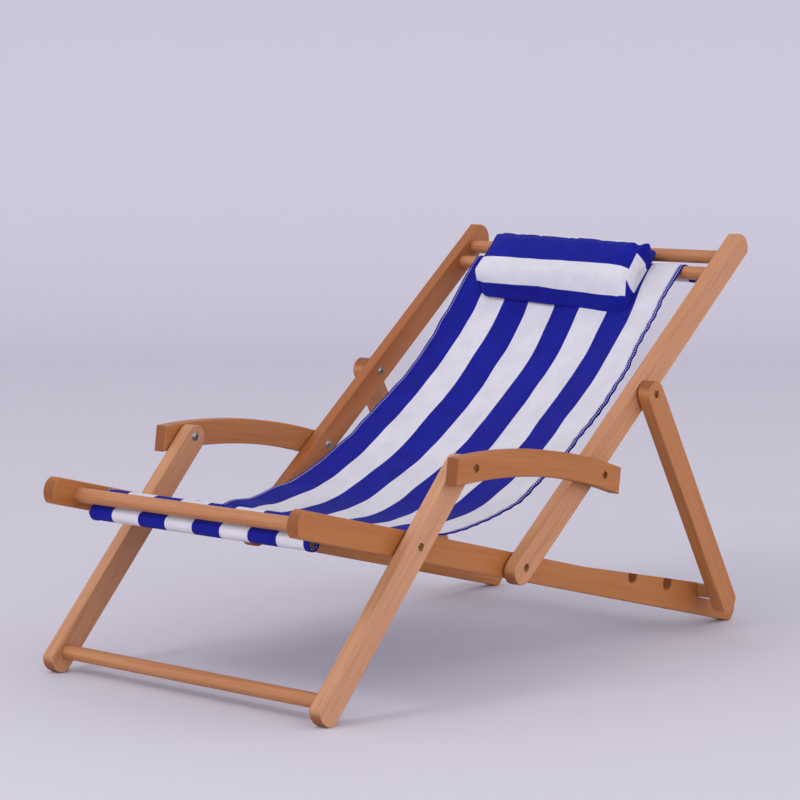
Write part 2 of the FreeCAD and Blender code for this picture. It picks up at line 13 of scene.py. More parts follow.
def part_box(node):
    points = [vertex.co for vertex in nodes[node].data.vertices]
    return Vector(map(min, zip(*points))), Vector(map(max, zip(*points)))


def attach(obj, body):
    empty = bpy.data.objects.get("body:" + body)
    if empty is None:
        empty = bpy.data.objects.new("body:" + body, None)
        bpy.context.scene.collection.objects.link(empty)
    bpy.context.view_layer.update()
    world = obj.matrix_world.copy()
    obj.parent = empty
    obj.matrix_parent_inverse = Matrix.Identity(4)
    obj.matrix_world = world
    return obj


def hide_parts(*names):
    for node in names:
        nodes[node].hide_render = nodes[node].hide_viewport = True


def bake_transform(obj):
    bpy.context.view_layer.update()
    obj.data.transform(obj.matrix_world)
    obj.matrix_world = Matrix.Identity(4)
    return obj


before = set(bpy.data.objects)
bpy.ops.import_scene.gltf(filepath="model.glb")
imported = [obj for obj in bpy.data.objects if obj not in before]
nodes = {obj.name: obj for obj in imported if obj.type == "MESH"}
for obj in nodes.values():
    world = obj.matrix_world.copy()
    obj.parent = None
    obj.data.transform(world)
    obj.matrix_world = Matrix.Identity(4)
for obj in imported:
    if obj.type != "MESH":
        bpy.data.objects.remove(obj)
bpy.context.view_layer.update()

MM = 0.001
STRIPE = 55 * MM
THREAD_PITCH = 0.55 * MM
WORN_EDGE = 1.6 * MM

# Colours are linear.
BEECH = (0.37, 0.123, 0.026)
BEECH_LIGHT = (0.43, 0.160, 0.042)
BEECH_DARK = (0.27, 0.080, 0.015)
BEECH_PALE = (0.66, 0.39, 0.25)
BEECH_DEEP = (0.27, 0.070, 0.016)
END_GRAIN = (0.15, 0.040, 0.014)
FLECK = (0.22, 0.085, 0.035)
BLUE = (0.006, 0.010, 0.30)
BLUE_DARK = (0.004, 0.006, 0.19)
# Painted shade, darkening the hollows between blue threads.
BLUE_PIT_SHADE = (0.004, 0.005, 0.10)
WHITE = (0.685, 0.67, 0.735)
WHITE_DARK = (0.575, 0.56, 0.625)
# Painted shade, darkening the hollows between white threads.
WHITE_PIT_SHADE = (0.42, 0.41, 0.47)
THREAD = (0.62, 0.62, 0.66)
THREAD_LIGHT = (0.86, 0.86, 0.90)
BRASS = (0.42, 0.27, 0.10)
BRASS_DULL = (0.16, 0.10, 0.045)
ZINC = (0.27, 0.25, 0.24)
ZINC_DULL = (0.11, 0.10, 0.10)
NYLON = (0.020, 0.018, 0.016)
NYLON_LIGHT = (0.045, 0.040, 0.036)
PAPER_FLOOR = (0.600, 0.577, 0.651)
PAPER_FLOOR_LIGHT = (0.628, 0.605, 0.679)
# Painted shade: the wall colours are darker than the floor colours, standing in for less light up the
# wall.
PAPER_WALL = (0.512, 0.494, 0.566)
PAPER_WALL_LIGHT = (0.527, 0.509, 0.581)

# Noise scales: features per metre, before any stretch along the grain.
BROAD_GRAIN = 42
GRAIN_BANDS = 330
FINE_GRAIN = 1100
RAY_FLECKS = 1300
END_PORES = 1500
SCRATCHES = 4200
TARNISH = 260
SLUBS = 1100
CLOUDS = 28


# ---------------------------------------------------------------- node materials
class Shader:
    """A node material, with one short call for each kind of node used here."""

    def __init__(self, name):
        self.material = bpy.data.materials.new(name)
        self.material.use_nodes = True
        self.tree = self.material.node_tree
        self.surface = self.tree.nodes["Principled BSDF"]

    def feed(self, socket, value):
        """A node's output is linked to the socket; anything else is its fixed value."""
        if isinstance(value, bpy.types.NodeSocket):
            self.tree.links.new(value, socket)
        elif isinstance(value, tuple) and len(value) == 3 and len(socket.default_value) == 4:
            socket.default_value = (*value, 1)
        else:
            socket.default_value = value

    def add(self, kind, inputs, **settings):
        item = self.tree.nodes.new("ShaderNode" + kind)
        for key, value in settings.items():
            setattr(item, key, value)
        for key, value in inputs.items():
            self.feed(item.inputs[key], value)
        return item

    def paint(self, **inputs):
        """Inputs of the surface shader, with _ for a space in the name."""
        for key, value in inputs.items():
            self.feed(self.surface.inputs[key.replace("_", " ")], value)

    def math(self, operation, a, b=0.0):
        return self.add("Math", {0: a, 1: b}, operation=operation).outputs[0]

    def mix(self, factor, a, b):
        item = self.add("Mix", {"Factor": factor}, data_type="RGBA")
        self.feed(item.inputs[6], a)
        self.feed(item.inputs[7], b)
        return item.outputs[2]

    def span(self, value, low, high, smooth=True):
        """0 where value is below low, 1 above high, easing between them."""
        kind = "SMOOTHSTEP" if smooth else "LINEAR"
        inputs = {"Value": value, "From Min": low, "From Max": high}
        return self.add("MapRange", inputs, interpolation_type=kind).outputs["Result"]

    def place(self, spin=(0, 0, 0), scale=(1, 1, 1), shift=(0, 0, 0)):
        """Object coordinates turned by spin, then stretched."""
        spot = self.add("TexCoord", {}).outputs["Object"]
        turned = self.add("Mapping", {"Vector": spot, "Rotation": spin, "Location": shift})
        return self.add("Mapping", {"Vector": turned.outputs[0], "Scale": scale}).outputs[0]

    def noise(self, where, scale, detail=3.0, rough=0.5, warp=0.0):
        inputs = {"Vector": where, "Scale": scale, "Detail": detail, "Roughness": rough,
                  "Distortion": warp}
        return self.add("TexNoise", inputs).outputs["Fac"]

    def bump(self, height, distance, strength=1.0):
        inputs = {"Height": height, "Distance": distance, "Strength": strength}
        self.paint(Normal=self.add("Bump", inputs).outputs[0])


def beech(name, spin, seed, pale, end_shade=0.85):
    """Lacquered beech: straight grain along the local Y axis after spin, ray flecks, worn edges.

    pale shifts the board's colour: above 0 to pale, below 0 to deep. end_shade darkens end grain.
    """
    wood = Shader(name)
    shift = (0.31 * seed, 1.7 * seed, 0.53 * seed)

    def grain(stretch):
        return wood.place(spin, (1, stretch, 1), shift)

    broad = wood.noise(grain(0.05), BROAD_GRAIN, 2.0)
    bands = wood.noise(grain(0.02), GRAIN_BANDS, 3.0, 0.6, 0.3)
    fine = wood.noise(grain(0.02), FINE_GRAIN, 2.0, 0.7)
    flecks = wood.span(wood.noise(grain(0.16), RAY_FLECKS, 1.0), 0.66, 0.74)
    tone = wood.mix(wood.span(broad, 0.25, 0.75), BEECH, BEECH_LIGHT)
    tone = wood.mix(abs(pale), tone, BEECH_PALE if pale > 0 else BEECH_DEEP)
    tone = wood.mix(wood.math("MULTIPLY", wood.span(bands, 0.42, 0.72), 0.42), tone, BEECH_DARK)
    tone = wood.mix(wood.math("MULTIPLY", fine, 0.22), tone, BEECH_DARK)
    tone = wood.mix(wood.math("MULTIPLY", flecks, 0.35), tone, FLECK)

    facing = wood.add("TexCoord", {}).outputs["Normal"]
    facing = wood.add("Mapping", {"Vector": facing, "Rotation": spin}).outputs[0]
    endways = wood.add("SeparateXYZ", {0: facing}).outputs["Y"]
    ends = wood.span(wood.math("ABSOLUTE", endways), 0.62, 0.95)
    pores = wood.noise(grain(1), END_PORES, 2.0)
    end_tone = wood.mix(pores, END_GRAIN, BEECH_DARK)
    tone = wood.mix(wood.math("MULTIPLY", ends, end_shade), tone, end_tone)

    rounded = wood.add("Bevel", {"Radius": WORN_EDGE}, samples=4).outputs[0]
    true_normal = wood.add("NewGeometry", {}).outputs["Normal"]
    agree = wood.add("VectorMath", {0: rounded, 1: true_normal}, operation="DOT_PRODUCT")
    worn = wood.span(agree.outputs["Value"], 0.995, 0.93)
    worn = wood.math("MULTIPLY", worn, wood.span(wood.noise(grain(0.4), 90, 3.0), 0.35, 0.65))
    tone = wood.mix(wood.math("MULTIPLY", worn, 0.35), tone, BEECH_LIGHT)

    rough = wood.add("MapRange", {"Value": bands, "To Min": 0.40, "To Max": 0.58}).outputs["Result"]
    wood.paint(Base_Color=tone, Roughness=wood.math("ADD", rough, wood.math("MULTIPLY", ends, 0.2)))
    wood.paint(Coat_Weight=0.06, Coat_Roughness=0.35, Specular_IOR_Level=0.32)
    height = wood.math("SUBTRACT", wood.math("ADD", fine, wood.math("MULTIPLY", bands, 0.6)),
                       wood.math("MULTIPLY", flecks, 0.5))
    wood.bump(height, 0.12 * MM, 0.55)
    return wood.material


def metal(name, colour, dull, rough_low, rough_high):
    """Plated metal: brushed scratches, tarnish in patches."""
    plate = Shader(name)
    scratches = plate.noise(plate.place(scale=(1, 1, 0.06)), SCRATCHES, 2.0)
    patches = plate.noise(plate.place(), TARNISH, 4.0)
    tarnish = plate.span(patches, 0.45, 0.75)
    tone = plate.mix(plate.math("MULTIPLY", tarnish, 0.7), colour, dull)
    rough = plate.add("MapRange", {"Value": scratches, "To Min": rough_low, "To Max": rough_high})
    plate.paint(Base_Color=tone, Metallic=0.95, Roughness=rough.outputs["Result"])
    plate.bump(scratches, 0.03 * MM, 0.5)
    return plate.material


def nylon(name):
    """Dark moulded plastic for the spacer washers."""
    plastic = Shader(name)
    grains = plastic.noise(plastic.place(), 1800, 3.0)
    rough = plastic.math("ADD", 0.45, plastic.math("MULTIPLY", grains, 0.2))
    plastic.paint(Base_Color=plastic.mix(grains, NYLON, NYLON_LIGHT), Roughness=rough)
    plastic.bump(grains, 0.05 * MM, 0.4)
    return plastic.material


def canvas(name):
    """Plain-weave cotton in blue and white stripes, with painted shade in the weave's hollows; the
    cloth UV map is in metres.
    """
    cloth = Shader(name)
    spot = cloth.add("UVMap", {}, uv_map="cloth").outputs[0]
    flat = cloth.add("SeparateXYZ", {0: spot}).outputs
    across, along = flat["X"], flat["Y"]

    def threads(coordinate):
        """Height over one set of threads: a row of round ridges."""
        turns = cloth.math("MULTIPLY", coordinate, math.pi / THREAD_PITCH)
        return cloth.math("ABSOLUTE", cloth.math("SINE", turns))

    over = cloth.add("TexChecker", {"Vector": spot, "Scale": 1 / THREAD_PITCH, "Color1": (1, 1, 1),
                                    "Color2": (0, 0, 0)}).outputs["Fac"]
    weave = cloth.mix(over, cloth.math("POWER", threads(across), 0.6),
                      cloth.math("POWER", threads(along), 0.6))
    frayed = cloth.add("Mapping", {"Vector": spot, "Scale": (1, 0.5, 1)}).outputs[0]
    jitter = cloth.math("SUBTRACT", cloth.noise(frayed, 1500, 1.0), 0.5)
    jitter = cloth.math("MULTIPLY", jitter, 0.8 * MM)
    pair = cloth.math("DIVIDE", cloth.math("ADD", across, jitter), 2 * STRIPE)
    place = cloth.math("FRACT", cloth.math("ADD", pair, 4.0))
    white = cloth.math("GREATER_THAN", place, 0.5)

    warp_way = cloth.add("Mapping", {"Vector": spot, "Scale": (1, 0.03, 1)}).outputs[0]
    weft_way = cloth.add("Mapping", {"Vector": spot, "Scale": (0.03, 1, 1)}).outputs[0]
    slubs = cloth.math("ADD", cloth.noise(warp_way, SLUBS, 2.0), cloth.noise(weft_way, SLUBS, 2.0))
    cloudy = cloth.noise(cloth.place(), CLOUDS, 3.0)
    wear = cloth.math("ADD", cloth.math("MULTIPLY", slubs, 0.35), cloth.math("MULTIPLY", cloudy, 0.4))
    shade = cloth.span(wear, 0.35, 0.75)
    blue = cloth.mix(shade, BLUE_DARK, BLUE)
    pale = cloth.mix(shade, WHITE_DARK, WHITE)
    tone = cloth.mix(white, blue, pale)
    # Painted shade: the hollows between the threads are darkened, up to 0.28 of the way to the pit
    # colours.
    pit_shade = cloth.math("MULTIPLY", cloth.math("SUBTRACT", 1.0, weave), 0.28)
    tone = cloth.mix(pit_shade, tone, cloth.mix(white, BLUE_PIT_SHADE, WHITE_PIT_SHADE))
    cloth.paint(Base_Color=tone, Roughness=0.88, Sheen_Weight=0.03, Sheen_Roughness=0.5,
                Specular_IOR_Level=0.12)
    relief = cloth.math("ADD", weave, cloth.math("MULTIPLY", slubs, 0.8))
    cloth.bump(relief, 0.16 * MM, 0.7)
    return cloth.material


def thread(name):
    """White sewing thread: two plies twisted together."""
    yarn = Shader(name)
    plies = yarn.noise(yarn.place(scale=(1, 0.4, 0.4)), 5200, 2.0)
    yarn.paint(Base_Color=yarn.mix(plies, THREAD, THREAD_LIGHT), Roughness=0.75)
    yarn.bump(plies, 0.06 * MM, 0.5)
    return yarn.material


def studio_paper(name):
    """Pale seamless paper with a faint tooth, painted a little darker up the wall as painted shade.
    """
    paper = Shader(name)
    tooth = paper.noise(paper.place(), 60, 4.0)
    floor = paper.mix(tooth, PAPER_FLOOR, PAPER_FLOOR_LIGHT)
    wall = paper.mix(tooth, PAPER_WALL, PAPER_WALL_LIGHT)
    height = paper.add("SeparateXYZ", {0: paper.place()}).outputs["Z"]
    # Painted shade: the colour darkens from the floor colour to the wall colour over the first two
    # metres up.
    paper.paint(Base_Color=paper.mix(paper.span(height, 0.0, 2.0), floor, wall))
    paper.paint(Roughness=paper.math("ADD", 0.62, paper.math("MULTIPLY", tooth, 0.2)),
                Specular_IOR_Level=0.25)
    paper.bump(tooth, 0.3 * MM, 0.2)
    return paper.material


# ---------------------------------------------------------------- finishes on the CAD nodes
def coat(name, material):
    """Gives a CAD node this finish."""
    for place in nodes[name].material_slots:
        place.material = material


def lean(name):
    """How far a bar leans back from +Y, from the spread of its points in the side view."""
    points = np.array([tuple(v.co)[1:] for v in nodes[name].data.vertices])
    points = points - points.mean(axis=0)
    direction = np.linalg.svd(points, full_matrices=False)[2][0]
    return math.atan2(direction[1], direction[0])


# How pale each board is, right and left: some boards are paler than others, and the left back rail is
# made deeper partly as painted shade, for its inner face in the canvas's shade.
BOARDS = {"base_rail": (-0.10, 0.0), "back_rail": (0.38, -0.60), "front_leg": (0.52, 0.42),
          "support_leg": (0.08, 0.18), "armrest": (-0.10, 0.08)}
DOWELS = ("front_dowel", "sling_dowel", "leg_dowel", "top_dowel_lower", "top_dowel_upper",
          "support_bar", "front_hem_rod", "top_hem_rod")
DOWEL_PALE = 0.22
DOWEL_END_SHADE = 0.2


def finish_wood():
    """Each bar is cut from its own board, with its own grain."""
    seed = 1
    for bar, paleness in BOARDS.items():
        for side, pale in zip(("right", "left"), paleness):
            name = "%s_%s" % (bar, side)
            coat(name, beech("beech_" + name, (-lean(name), 0, 0), seed, pale))
            seed += 1
    for name in DOWELS:
        crosswise = (0, 0, math.pi / 2)
        coat(name, beech("beech_" + name, crosswise, seed, DOWEL_PALE, DOWEL_END_SHADE))
        seed += 1


def finish_hardware():
    brass = metal("brass_plate", BRASS, BRASS_DULL, 0.28, 0.5)
    steel = metal("zinc_plate", ZINC, ZINC_DULL, 0.22, 0.42)
    dark = nylon("nylon")
    for name in nodes:
        if name.endswith("screws"):
            coat(name, steel)
        elif "sleeve" in name:
            coat(name, brass)
        elif name.endswith("washers"):
            coat(name, dark)


# ---------------------------------------------------------------- places taken from the frame
def centre(name):
    """A node's middle in the side view, as (y, z)."""
    low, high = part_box(name)
    return np.array([(low.y + high.y) / 2, (low.z + high.z) / 2])


def radius(name):
    low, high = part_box(name)
    return (high.z - low.z) / 2


def around(angle):
    return np.array([math.cos(angle), math.sin(angle)])


# ---------------------------------------------------------------- the sling's path in the side view
SHEET = 1.2 * MM
LOOP_GAP = 3.4 * MM
PINCH = 11 * MM
FLAP = 7 * MM
PATH_STEP = 5 * MM
ARC_STEP = 1.5 * MM
CURVE_STEPS = 8


def arc(middle, r, start, end):
    """Points round a circle from one angle to another."""
    count = max(3, int(abs(end - start) * r / ARC_STEP))
    return [middle + r * around(a) for a in np.linspace(start, end, count)]


def belt_heading(from_middle, from_r, from_turn, to_middle, to_r, to_turn):
    """Direction of the straight run between two circles; turn is 1 anticlockwise, -1 clockwise."""
    step = to_middle - from_middle
    lean_in = (to_turn * to_r - from_turn * from_r) / np.linalg.norm(step)
    return math.atan2(step[1], step[0]) - math.asin(lean_in)


def hem_path(rod, dowel, turn, leaving, slack):
    """From the hem's sewn flap, round the rod, then over the dowel and off at angle leaving.

    PINCH is where the loop is sewn shut, beyond the rod; FLAP is how far the turned-in end goes on.
    """
    loop = radius(rod) + LOOP_GAP
    wrap = radius(dowel) + SHEET / 2 + slack
    up = belt_heading(centre(rod), loop, turn, centre(dowel), wrap, -turn)
    off_loop = up - turn * math.pi / 2
    onto_dowel = up + turn * math.pi / 2
    off_dowel = leaving + turn * math.pi / 2
    pinch = centre(rod) + loop * around(off_loop) + PINCH * around(up)
    beside = 1.5 * SHEET * around(up + turn * math.pi / 2)
    flap_end = pinch + beside + FLAP * around(up)
    down = belt_heading(pinch + beside, 0, turn, centre(rod), loop, turn)
    onto_loop = down - turn * math.pi / 2
    while turn * (off_loop - onto_loop) < 0:
        off_loop += turn * 2 * math.pi
    while turn * (onto_dowel - off_dowel) < 0:
        onto_dowel += turn * 2 * math.pi
    return ([flap_end, pinch + beside]
            + arc(centre(rod), loop, onto_loop, off_loop)
            + arc(centre(dowel), wrap, onto_dowel, off_dowel))


def sheet_heights(low_y, high_y, count):
    """The CAD canvas seen from above: its height at places between two y values."""
    graph = bpy.context.evaluated_depsgraph_get()
    trees = [BVHTree.FromObject(nodes[name], graph) for name in ("sling_seat", "sling_back")]
    found = []
    for y in np.linspace(low_y, high_y, count):
        hits = [tree.ray_cast(Vector((0, y, 2)), Vector((0, 0, -1)))[0] for tree in trees]
        hits = [hit.z for hit in hits if hit]
        if hits:
            found.append(np.array([y, max(hits)]))
    return found


def smooth_curve(knots, first, last):
    """A cubic curve through the knots with these end directions."""
    slopes = [around(first)]
    for before, after in zip(knots[:-2], knots[2:]):
        slopes.append((after - before) / np.linalg.norm(after - before))
    slopes.append(around(last))
    points = []
    for a, b, slope_a, slope_b in zip(knots[:-1], knots[1:], slopes[:-1], slopes[1:]):
        reach = np.linalg.norm(b - a)
        for t in np.linspace(0, 1, CURVE_STEPS + 1)[:-1]:
            points.append(a * (1 + 2 * t) * (1 - t) ** 2 + b * t * t * (3 - 2 * t)
                          + reach * (slope_a * t * (1 - t) ** 2 - slope_b * t * t * (1 - t)))
    return points + [knots[-1]]


SEAT_FALL = math.radians(-24)
BACK_RISE = math.radians(43)
SEAT_SLACK = 4.5 * MM
BACK_SLACK = 0.3 * MM
SEAT_RUN_OFF = 90 * MM
BACK_RUN_OFF = 70 * MM
HANGING_KNOTS = 26


def sling_path():
    """The sling's middle line from hem to hem, evenly spaced, and the stretch that hangs free.

    The slacks lift it off its dowels; the run-offs are how soon it settles to the CAD canvas.
    """
    front = hem_path("front_hem_rod", "sling_dowel", 1, SEAT_FALL, SEAT_SLACK)
    top = hem_path("top_hem_rod", "top_dowel_lower", -1, BACK_RISE + math.pi, BACK_SLACK)
    top.reverse()
    hanging = sheet_heights(front[-1][0] + SEAT_RUN_OFF, top[0][0] - BACK_RUN_OFF, HANGING_KNOTS)
    free = smooth_curve([front[-1]] + hanging + [top[0]], SEAT_FALL, BACK_RISE)
    points = np.array(front + free[1:-1] + top)
    lengths = np.linalg.norm(np.diff(points, axis=0), axis=1)
    reach = np.concatenate([[0], np.cumsum(lengths)])
    count = int(reach[-1] / PATH_STEP)
    even = np.linspace(0, reach[-1], count + 1)
    line = np.column_stack([np.interp(even, reach, points[:, k]) for k in (0, 1)])
    free_span = (reach[len(front) - 1], reach[len(front) + len(free) - 2])
    return line, even, free_span


# ---------------------------------------------------------------- the sling's shape across its width
STRIPES = 8
BLUE_HEM = 9 * MM
SLING_WIDTH = STRIPES * STRIPE
WHOLE_WIDTH = SLING_WIDTH + BLUE_HEM
COLUMNS_PER_STRIPE = 8
SIDE_HEM = 10 * MM

SEAT_SAG = 15 * MM
BACK_SAG = 19 * MM
LEFT_RISE = 3 * MM
LEFT_SAG = 8 * MM
SEAT_CURL = 5 * MM
HEAD_CURL = 12 * MM
CURL_START = 0.3
FOLDS = 4.5 * MM
CREASES = 1.8 * MM
EDGE_WAVE = 4.5 * MM
EDGE_WANDER = 3.5 * MM
RIGHT_WAVE = 2.0 * MM
STRIPE_WANDER = 3.2 * MM
HEAD_NARROWING = 0.04
HEAD_SHIFT = 7.5 * MM
FRONT_SHIFT = 6 * MM
FRONT_LEFT_SHIFT = 8 * MM
FRONT_RIGHT_SHIFT = 3 * MM
GATHER = 1.1 * MM
GATHER_PITCH = 26 * MM

# Places along the hanging stretch, from 0 at the sling dowel to 1 at the top dowel.
# A spot is its middle and its reach either way; a slope is its start and its length.
SEAT_SPOT = (0.42, 0.34)
BACK_SPOT = (0.75, 0.3)
LEFT_RISE_SPOT = (0.2, 0.25)
LEFT_SAG_SPOT = (0.78, 0.2)
SEAT_CURL_SLOPE = (0.4, 0.15)
HEAD_CURL_SLOPE = (0.68, 0.18)
LEFT_WAVE_SPOT = (0.22, 0.26)
RIGHT_WAVE_SPOT = (0.65, 0.35)
LEFT_WAVE_LENGTH = 0.085
RIGHT_WAVE_LENGTH = 0.12
FRONT_END = 0.14
HEAD_SLOPE = (0.84, 0.16)
FRONT_HOLD = 0.07
HEAD_HOLD = 0.11


def ease(x):
    """0 below 0, 1 above 1, smooth between."""
    x = min(max(x, 0.0), 1.0)
    return x * x * (3 - 2 * x)


def slope(x, start, length):
    """0 up to the start, easing to 1 over the length."""
    return ease((x - start) / length)


def bulge(x, at, width):
    """1 at the place, falling to 0 within the width on either side."""
    return 1 - ease(abs(x - at) / width)


def drift(a, b, pattern):
    """Smooth noise between -1 and 1; each pattern number gives another one."""
    return field.noise(Vector((a, b, pattern)))


class Sling:
    """The canvas as a surface: place(across, row) gives a point, across from -1 to 1."""

    def __init__(self):
        self.line, self.reach, self.free = sling_path()
        ahead = np.gradient(self.line, axis=0)
        ahead = ahead / np.linalg.norm(ahead, axis=1)[:, None]
        self.above = np.column_stack([-ahead[:, 1], ahead[:, 0]])

    def share(self, row):
        """How far along the free stretch a row is: 0 at the sling dowel, 1 at the top dowel."""
        return (self.reach[row] - self.free[0]) / (self.free[1] - self.free[0])

    def dish(self, across, t):
        """The canvas sags in the middle and curls up on its right side towards the head."""
        middle = -SEAT_SAG * bulge(t, *SEAT_SPOT) - BACK_SAG * bulge(t, *BACK_SPOT)
        left = LEFT_RISE * bulge(t, *LEFT_RISE_SPOT) - LEFT_SAG * bulge(t, *LEFT_SAG_SPOT)
        right = SEAT_CURL * slope(t, *SEAT_CURL_SLOPE) + HEAD_CURL * slope(t, *HEAD_CURL_SLOPE)
        curl = max(0.0, (across - CURL_START) / (1 - CURL_START)) ** 2.5
        droop = max(0.0, -across) ** 2
        return middle * (1 - across * across) + left * droop + right * curl

    def ripple(self, across, t):
        """Slack in the cloth: slow folds everywhere and a wavy left edge over the seat."""
        slow = drift(across * 2.2, t * 9, 3.1) * FOLDS
        slow += drift(across * 4, t * 24, 5.5) * CREASES
        seat_edge = bulge(across, -1, 0.45) * bulge(t, *LEFT_WAVE_SPOT)
        wavy = EDGE_WAVE * math.sin(2 * math.pi * t / LEFT_WAVE_LENGTH) * seat_edge
        wavy += EDGE_WANDER * drift(1.7, t * 26, 2.2) * bulge(across, -1, 0.35)
        right_edge = bulge(across, 1, 0.3) * bulge(t, *RIGHT_WAVE_SPOT)
        right_turns = 2 * math.pi * t / RIGHT_WAVE_LENGTH + 1
        return slow + wavy + RIGHT_WAVE * math.sin(right_turns) * right_edge

    def across_at(self, across, row, free):
        """Where a thread runs: narrower at the head, shifted at both ends, gathered at its edge."""
        t = self.share(row)
        head = slope(t, *HEAD_SLOPE)
        front = ease((FRONT_END - t) / FRONT_END)
        x = across * WHOLE_WIDTH / 2 * (1 - HEAD_NARROWING * head) - HEAD_SHIFT * head
        wander = STRIPE_WANDER * drift(across * 1.6, t * 12, 8.4)
        x += wander * free * (1 - 0.5 * abs(across))
        x += front * (FRONT_SHIFT + FRONT_LEFT_SHIFT * bulge(across, -1, 0.25)
                      - FRONT_RIGHT_SHIFT * bulge(across, 1, 0.3))
        tucks = math.sin(2 * math.pi * self.reach[row] / GATHER_PITCH)
        return x + GATHER * tucks * bulge(across, 1, 0.08) * free

    def place(self, across, row, lift=0.0):
        """The point on the sheet, or lift above it; the dowels hold both ends flat."""
        t = self.share(row)
        free = ease(t / FRONT_HOLD) * ease((1 - t) / HEAD_HOLD)
        offset = free * (self.dish(across, t) + self.ripple(across, t)) + lift
        y, z = self.line[row] + self.above[row] * offset
        return Vector((self.across_at(across, row, free), y, z))


HEM_RISE = 0.7 * MM
HEM_FALL = 0.8 * MM
HEM_STEP = 1.2 * MM


def hem_lift(from_left, side):
    """Extra thickness, above (side 1) or below (side -1), where the edges are turned in."""
    from_right = WHOLE_WIDTH - from_left
    if side > 0:
        return HEM_RISE * ease((BLUE_HEM + HEM_STEP / 2 - from_right) / HEM_STEP)
    edge = min(from_left, from_right)
    return HEM_FALL * ease((SIDE_HEM + HEM_STEP / 2 - edge) / HEM_STEP)


def sling_columns():
    """Distances from the left edge of the columns of points across the sling."""
    body = [STRIPE * k / COLUMNS_PER_STRIPE for k in range(STRIPES * COLUMNS_PER_STRIPE)]
    edges = [1.5 * MM, 4 * MM, SIDE_HEM - 1 * MM, SIDE_HEM + 1 * MM]
    hem = [SLING_WIDTH - 0.8 * MM, SLING_WIDTH + 0.8 * MM, SLING_WIDTH + BLUE_HEM / 2,
           WHOLE_WIDTH - 1 * MM, WHOLE_WIDTH]
    return sorted(body + edges + hem)


def build_mesh(name, points, faces, material):
    mesh = bpy.data.meshes.new(name)
    mesh.from_pydata([tuple(p) for p in points], [], faces)
    mesh.update()
    piece = bpy.data.objects.new(name, mesh)
    bpy.context.scene.collection.objects.link(piece)
    mesh.materials.append(material)
    mesh.polygons.foreach_set("use_smooth", [True] * len(mesh.polygons))
    return piece


def map_cloth(piece, cloth_at):
    """Fills the cloth UV map: cloth_at(face number, vertex number) gives metres across and along."""
    layer = piece.data.uv_layers.new(name="cloth")
    for face in piece.data.polygons:
        for loop, vertex in zip(face.loop_indices, face.vertices):
            layer.data[loop].uv = cloth_at(face.index, vertex)


def sheet_faces(rows, width):
    """Faces of a thin sheet: the upper grid of points, the lower one after it, and the rim."""
    sheet = rows * width
    faces = []
    for row in range(rows - 1):
        for k in range(width - 1):
            a = row * width + k
            quad = [a, a + 1, a + width + 1, a + width]
            faces.append(quad)
            faces.append([v + sheet for v in reversed(quad)])
    rim = ([k for k in range(width)]
           + [row * width + width - 1 for row in range(1, rows)]
           + [(rows - 1) * width + k for k in range(width - 2, -1, -1)]
           + [row * width for row in range(rows - 2, 0, -1)])
    for a, b in zip(rim, rim[1:] + rim[:1]):
        faces.append([b, a, a + sheet, b + sheet])
    return faces


def build_sling(cloth_material, thread_material):
    sling = Sling()
    columns = sling_columns()
    rows = len(sling.line)
    points = []
    cloth = []
    for side in (1, -1):
        for row in range(rows):
            for from_left in columns:
                across = 2 * from_left / WHOLE_WIDTH - 1
                lift = side * (SHEET / 2 + hem_lift(from_left, side))
                points.append(sling.place(across, row, lift))
                cloth.append((from_left, sling.reach[row]))
    piece = build_mesh("sling", points, sheet_faces(rows, len(columns)), cloth_material)
    map_cloth(piece, lambda face, vertex: cloth[vertex])
    seams = build_stitches(sling, thread_material)
    return piece, seams


# ---------------------------------------------------------------- stitches
STITCH = 3.4 * MM
STITCH_PITCH = 4.8 * MM
THREAD_WIDTH = 1.1 * MM
STITCH_SIDES = 6
STITCH_START = 0.5 * MM
STITCH_LINES = (4.2 * MM, SLING_WIDTH + 2.4 * MM, WHOLE_WIDTH - 2.2 * MM)


def stitch_solid(start, end, out):
    """One stitch from start to end, bowed outwards: a spindle of thread."""
    along = (end - start).normalized()
    aside = along.cross(out).normalized()
    points = [start - out * THREAD_WIDTH * 0.4]
    for share, size in ((0.18, 0.8), (0.5, 1.0), (0.82, 0.8)):
        middle = start.lerp(end, share) + out * THREAD_WIDTH * 0.35 * size
        for k in range(STITCH_SIDES):
            angle = 2 * math.pi * k / STITCH_SIDES
            reach = aside * math.cos(angle) + out * math.sin(angle)
            points.append(middle + reach * THREAD_WIDTH / 2 * size)
    points.append(end - out * THREAD_WIDTH * 0.4)
    faces = []
    for k in range(STITCH_SIDES):
        after = (k + 1) % STITCH_SIDES
        faces.append([0, 1 + after, 1 + k])
        for ring in range(2):
            low = 1 + ring * STITCH_SIDES
            high = low + STITCH_SIDES
            faces.append([low + k, low + after, high + after, high + k])
        last = 1 + 2 * STITCH_SIDES
        faces.append([last + k, last + after, len(points) - 1])
    return points, faces


def stitch_line(path, outs):
    """Stitches at an even pitch along a line of points with their outward directions."""
    lengths = [0.0]
    for a, b in zip(path, path[1:]):
        lengths.append(lengths[-1] + (b - a).length)

    def at(reach):
        k = int(np.clip(np.searchsorted(lengths, reach) - 1, 0, len(path) - 2))
        share = (reach - lengths[k]) / (lengths[k + 1] - lengths[k])
        return path[k].lerp(path[k + 1], share), outs[k].lerp(outs[k + 1], share).normalized()

    points, faces = [], []
    for n in range(int(lengths[-1] / STITCH_PITCH)):
        start, out = at(n * STITCH_PITCH + STITCH_START)
        end = at(n * STITCH_PITCH + STITCH_START + STITCH)[0]
        more_points, more_faces = stitch_solid(start, end, out)
        faces += [[v + len(points) for v in face] for face in more_faces]
        points += more_points
    return points, faces


